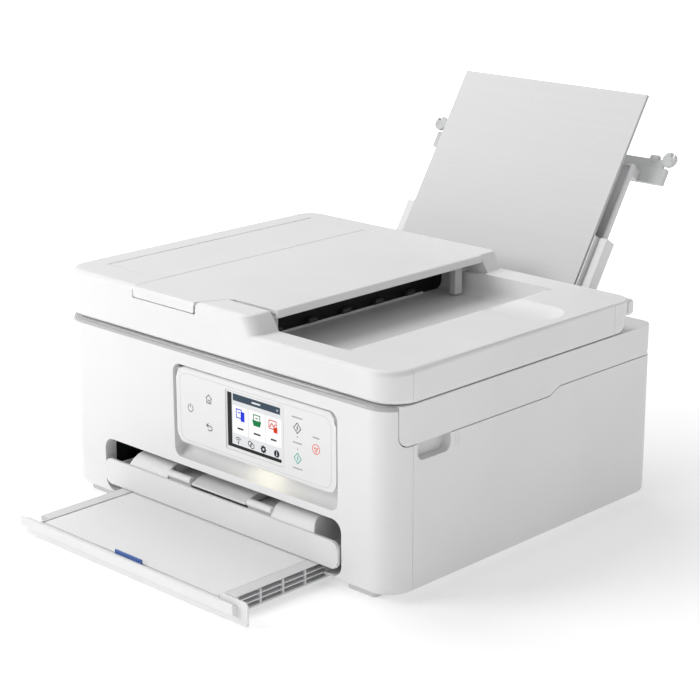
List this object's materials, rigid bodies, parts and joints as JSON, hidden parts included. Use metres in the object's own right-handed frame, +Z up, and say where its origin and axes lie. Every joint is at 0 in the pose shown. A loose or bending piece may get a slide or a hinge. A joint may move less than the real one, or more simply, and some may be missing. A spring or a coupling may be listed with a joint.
{
  "type": "inkjet printer",
  "caption": "All-in-one inkjet printer with document feeder, rear sheet tray, pulled-out front cassette and tilting touch panel.",
  "frame": {"origin": "centre of the bounding box's base, on the surface the printer stands on", "axes": "+X to the printer's right as seen from the front, +Y to its back, +Z up"},
  "size_m": [0.386, 0.5313, 0.3261],
  "materials": {
    "white_shell": "fine satin texture",
    "cover_shell": "fine satin texture",
    "inner_plastic": "satin",
    "black_plastic": "matt",
    "dark_plastic": "matt",
    "gear_plastic": "smooth",
    "blue_plastic": "satin",
    "clear_plastic": "frosted",
    "lamp_plastic": "frosted",
    "steel": "zinc plated",
    "dark_steel": "satin",
    "brass_part": "machined",
    "rubber_part": "matt",
    "foot_rubber": "matt",
    "board": "solder mask",
    "screen": "gloss",
    "clear_glass": "polished",
    "sheet_paper": "uncoated paper",
    "foam_pad": "soft"
  },
  "bodies": {
    "base": {"bottom_case": "white_shell", "front_cover": "white_shell", "side_cover_left": "white_shell", "side_cover_right": "white_shell", "rear_cover": "white_shell", "main_frame": "steel", "carriage_rod": "steel", "platen_frame": "black_plastic", "main_board": "board", "power_supply": "dark_plastic", "power_inlet": "black_plastic", "usb_socket": "steel", "purge_unit": "dark_plastic", "carriage_belt": "rubber_part", "carriage_motor": "steel", "feed_motor": "steel", "rubber_feet": "foot_rubber", "case_screws": "steel", "rear_feed_chute": "inner_plastic", "status_lamp": "lamp_plastic"},
    "feed_shaft": {"feed_roller": "dark_steel", "feed_gear": "gear_plastic"},
    "eject_shaft": {"eject_roller": "rubber_part", "eject_gear": "gear_plastic"},
    "idler": {"idler_gear": "gear_plastic"},
    "pinion": {"motor_pinion": "brass_part"},
    "pickup_arm": {"pickup_arm": "dark_plastic"},
    "pickup_roller": {"pickup_roller": "rubber_part"},
    "rear_pickup": {"rear_pickup_roller": "rubber_part"},
    "carriage": {"carriage": "dark_plastic", "black_cartridge": "black_plastic", "colour_cartridge": "dark_plastic"},
    "motor_pulley": {"motor_pulley": "brass_part"},
    "idler_pulley": {"idler_pulley": "gear_plastic"},
    "cassette": {"cassette_tray": "inner_plastic", "cassette_front": "white_shell", "cassette_sheets": "sheet_paper", "cassette_length_guide": "blue_plastic"},
    "cassette_guide_left": {"cassette_guide_left": "inner_plastic"},
    "cassette_guide_right": {"cassette_guide_right": "inner_plastic"},
    "output_tray": {"output_tray": "white_shell"},
    "tray_extension": {"tray_extension": "white_shell"},
    "control_panel": {"control_panel": "white_shell", "touch_screen": "screen"},
    "scanner_unit": {"scanner_housing": "white_shell", "scanner_glass": "clear_glass", "scan_rod": "steel"},
    "scan_bar": {"scan_bar": "black_plastic"},
    "document_cover": {"document_cover": "cover_shell", "pressure_pad": "foam_pad"},
    "feeder_cover": {"feeder_cover": "cover_shell"},
    "feeder_roller": {"feeder_roller": "rubber_part"},
    "document_tray": {"document_tray": "cover_shell"},
    "document_guide_front": {"document_guide_front": "inner_plastic"},
    "document_guide_rear": {"document_guide_rear": "inner_plastic"},
    "rear_support": {"rear_support": "inner_plastic", "rear_crossbar": "clear_plastic"},
    "rear_guide_left": {"rear_guide_left": "white_shell"},
    "rear_guide_right": {"rear_guide_right": "white_shell"},
    "rear_sheets": {"rear_sheets": "sheet_paper"}
  },
  "joints": [
    {"name": "feed_spin", "type": "hinge", "parent": "base", "child": "feed_shaft", "pos_m": [0, 0.0428, 0.0545], "axis": [1, 0, 0], "continuous": true},
    {"name": "idler_spin", "type": "hinge", "parent": "base", "child": "idler", "pos_m": [-0.177, 0.00981, 0.05531], "axis": [1, 0, 0], "continuous": true},
    {"name": "eject_spin", "type": "hinge", "parent": "base", "child": "eject_shaft", "pos_m": [0, -0.01818, 0.056], "axis": [1, 0, 0], "continuous": true},
    {"name": "pinion_spin", "type": "hinge", "parent": "base", "child": "pinion", "pos_m": [-0.174, 0.05694, 0.03765], "axis": [1, 0, 0], "continuous": true},
    {"name": "pickup_arm_swing", "type": "hinge", "parent": "base", "child": "pickup_arm", "pos_m": [0, 0.0618, 0.046], "axis": [-1, 0, 0], "range_deg": [0, 7]},
    {"name": "pickup_roller_spin", "type": "hinge", "parent": "pickup_arm", "child": "pickup_roller", "pos_m": [0, 0.0858, 0.027], "axis": [1, 0, 0], "continuous": true},
    {"name": "rear_pickup_spin", "type": "hinge", "parent": "base", "child": "rear_pickup", "pos_m": [0, 0.10254, 0.09637], "axis": [1, 0, 0], "continuous": true},
    {"name": "carriage_slide", "type": "slide", "parent": "base", "child": "carriage", "axis": [1, 0, 0], "range_m": [-0.2555, 0]},
    {"name": "motor_pulley_spin", "type": "hinge", "parent": "base", "child": "motor_pulley", "pos_m": [-0.168, 0.0378, 0.11], "axis": [0, 0, 1], "range_deg": [-2700, 30]},
    {"name": "idler_pulley_spin", "type": "hinge", "parent": "base", "child": "idler_pulley", "pos_m": [0.168, 0.0378, 0.11], "axis": [0, 0, 1], "range_deg": [-2700, 30]},
    {"name": "cassette_slide", "type": "slide", "parent": "base", "child": "cassette", "axis": [0, -1, 0], "range_m": [-0.0925, 0.21]},
    {"name": "cassette_guide_left_slide", "type": "slide", "parent": "cassette", "child": "cassette_guide_left", "axis": [-1, 0, 0], "range_m": [0, 0.003]},
    {"name": "cassette_guide_right_slide", "type": "slide", "parent": "cassette", "child": "cassette_guide_right", "axis": [1, 0, 0], "range_m": [0, 0.003]},
    {"name": "output_tray_slide", "type": "slide", "parent": "base", "child": "output_tray", "axis": [0, -1, 0], "range_m": [0, 0.088]},
    {"name": "tray_extension_slide", "type": "slide", "parent": "output_tray", "child": "tray_extension", "axis": [0, -1, 0], "range_m": [0, 0.068]},
    {"name": "panel_tilt", "type": "hinge", "parent": "base", "child": "control_panel", "pos_m": [0, -0.1566, 0.136], "axis": [-1, 0, 0], "range_deg": [0, 45]},
    {"name": "scanner_unit_hinge", "type": "hinge", "parent": "base", "child": "scanner_unit", "pos_m": [0, 0.1558, 0.133], "axis": [1, 0, 0], "range_deg": [-25, 0]},
    {"name": "scan_bar_slide", "type": "slide", "parent": "scanner_unit", "child": "scan_bar", "axis": [1, 0, 0], "range_m": [0, 0.31]},
    {"name": "document_cover_hinge", "type": "hinge", "parent": "scanner_unit", "child": "document_cover", "pos_m": [0, 0.1258, 0.164], "axis": [-1, 0, 0], "range_deg": [0, 50]},
    {"name": "feeder_cover_hinge", "type": "hinge", "parent": "document_cover", "child": "feeder_cover", "pos_m": [-0.1667, -0.0082, 0.1955], "axis": [0, -1, 0], "range_deg": [0, 70]},
    {"name": "feeder_roller_spin", "type": "hinge", "parent": "document_cover", "child": "feeder_roller", "pos_m": [-0.134, -0.0082, 0.177], "axis": [0, 1, 0], "continuous": true},
    {"name": "document_tray_hinge", "type": "hinge", "parent": "document_cover", "child": "document_tray", "pos_m": [0.0365, -0.0092, 0.1905], "axis": [0, 1, 0], "range_deg": [0, 150]},
    {"name": "document_guide_rear_slide", "type": "slide", "parent": "document_tray", "child": "document_guide_rear", "axis": [0, -1, 0], "range_m": [0, 0.06]},
    {"name": "document_guide_front_slide", "type": "slide", "parent": "document_tray", "child": "document_guide_front", "axis": [0, 1, 0], "range_m": [0, 0.06]},
    {"name": "rear_support_slide", "type": "slide", "parent": "base", "child": "rear_support", "axis": [0, 0.5373, 0.8434], "range_m": [-0.08, 0]},
    {"name": "rear_guide_left_slide", "type": "slide", "parent": "base", "child": "rear_guide_left", "axis": [-1, 0, 0], "range_m": [0, 0.008]},
    {"name": "rear_guide_right_slide", "type": "slide", "parent": "base", "child": "rear_guide_right", "axis": [1, 0, 0], "range_m": [0, 0.008]},
    {"name": "rear_sheets_slide", "type": "slide", "parent": "base", "child": "rear_sheets", "axis": [0, 0.5373, 0.8434], "range_m": [0, 0.3]}
  ],
  "couplings": [
    {"joint": "idler_spin", "follows": "feed_spin", "ratio": -0.94118},
    {"joint": "eject_spin", "follows": "feed_spin", "ratio": 1.4545},
    {"joint": "pinion_spin", "follows": "feed_spin", "ratio": -2.6667},
    {"joint": "motor_pulley_spin", "follows": "carriage_slide", "rad_per_m": 181.82},
    {"joint": "idler_pulley_spin", "follows": "carriage_slide", "rad_per_m": 181.82},
    {"joint": "cassette_guide_right_slide", "follows": "cassette_guide_left_slide", "ratio": 1},
    {"joint": "document_guide_front_slide", "follows": "document_guide_rear_slide", "ratio": 1},
    {"joint": "rear_guide_right_slide", "follows": "rear_guide_left_slide", "ratio": 1}
  ]
}
